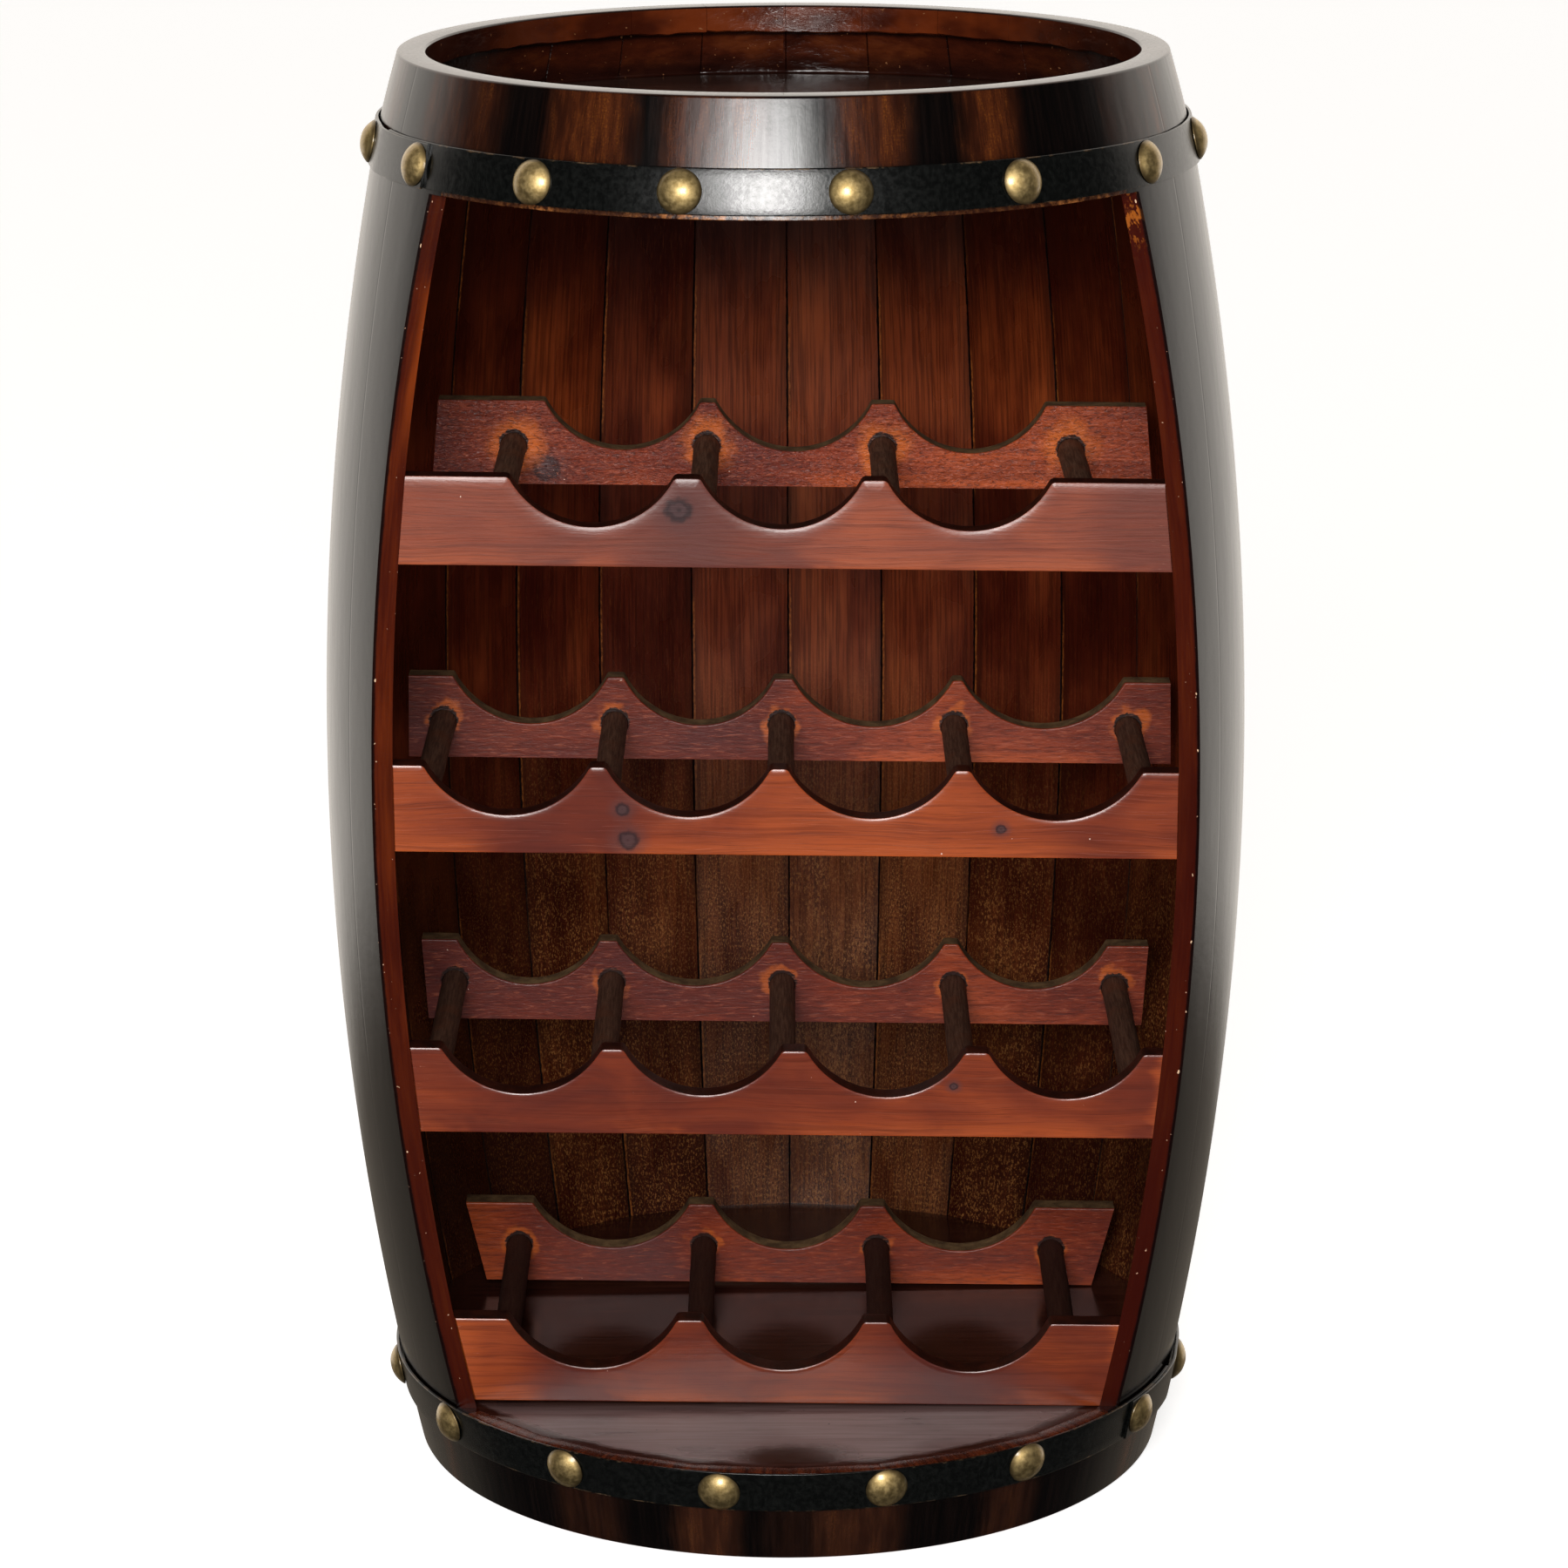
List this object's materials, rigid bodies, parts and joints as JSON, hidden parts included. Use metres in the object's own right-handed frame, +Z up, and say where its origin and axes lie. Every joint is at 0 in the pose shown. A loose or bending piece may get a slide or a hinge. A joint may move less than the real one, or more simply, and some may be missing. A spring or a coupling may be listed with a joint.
{
  "type": "barrel bar cabinet",
  "caption": "Coopered barrel with an open flat front, a serving tray sunk in its top and scalloped racks inside that hold wine bottles lying down.",
  "frame": {"origin": "centre of the bounding box's bottom face, on the floor", "axes": "+Z up along the barrel's axis, the open front faces -Y, +X to the right as seen from the front"},
  "size_m": [0.518, 0.4896, 0.8],
  "materials": {
    "barrel_wood": "dark brown-black gloss lacquer, rubbed through to brown and orange on the end bands",
    "rack_wood": "reddish stain with a semi-gloss coat, dark knots, pale worn edges",
    "rear_rack_wood": "rough sawn, dark red stain with an orange tone round the dowels",
    "dowel_wood": "matte dark grey-brown stain",
    "panel_wood": "high gloss dark red-brown lacquer",
    "hoop_steel": "satin black paint with a fine texture",
    "nail_brass": "aged brass, dark round the rim"
  },
  "bodies": {
    "root": {"right_stave_1": "barrel_wood", "right_stave_2": "barrel_wood", "right_stave_3": "barrel_wood", "right_stave_4": "barrel_wood", "right_stave_5": "barrel_wood", "rear_stave_1": "barrel_wood", "rear_stave_2": "barrel_wood", "rear_stave_3": "barrel_wood", "rear_stave_4": "barrel_wood", "rear_stave_5": "barrel_wood", "rear_stave_6": "barrel_wood", "rear_stave_7": "barrel_wood", "rear_stave_8": "barrel_wood", "left_stave_1": "barrel_wood", "left_stave_2": "barrel_wood", "left_stave_3": "barrel_wood", "left_stave_4": "barrel_wood", "left_stave_5": "barrel_wood", "front_top_stave_pair_1": "barrel_wood", "front_top_stave_pair_2": "barrel_wood", "front_top_stave_pair_3": "barrel_wood", "front_top_stave_pair_4": "barrel_wood", "front_bottom_stave_pair_1": "barrel_wood", "front_bottom_stave_pair_2": "barrel_wood", "front_bottom_stave_pair_3": "barrel_wood", "front_bottom_stave_pair_4": "barrel_wood", "tray_panel": "panel_wood", "floor_panel": "panel_wood", "top_hoop": "hoop_steel", "bottom_hoop": "hoop_steel", "top_hoop_nails": "nail_brass", "bottom_hoop_nails": "nail_brass", "row1_front_board": "rack_wood", "row1_rear_board": "rear_rack_wood", "row1_dowel_1": "dowel_wood", "row1_dowel_2": "dowel_wood", "row1_dowel_3": "dowel_wood", "row1_dowel_4": "dowel_wood", "row2_front_board": "rack_wood", "row2_rear_board": "rear_rack_wood", "row2_dowel_1": "dowel_wood", "row2_dowel_2": "dowel_wood", "row2_dowel_3": "dowel_wood", "row2_dowel_4": "dowel_wood", "row2_dowel_5": "dowel_wood", "row3_front_board": "rack_wood", "row3_rear_board": "rear_rack_wood", "row3_dowel_1": "dowel_wood", "row3_dowel_2": "dowel_wood", "row3_dowel_3": "dowel_wood", "row3_dowel_4": "dowel_wood", "row3_dowel_5": "dowel_wood", "row4_front_board": "rack_wood", "row4_rear_board": "rear_rack_wood", "row4_dowel_1": "dowel_wood", "row4_dowel_2": "dowel_wood", "row4_dowel_3": "dowel_wood", "row4_dowel_4": "dowel_wood"}
  },
  "joints": []
}
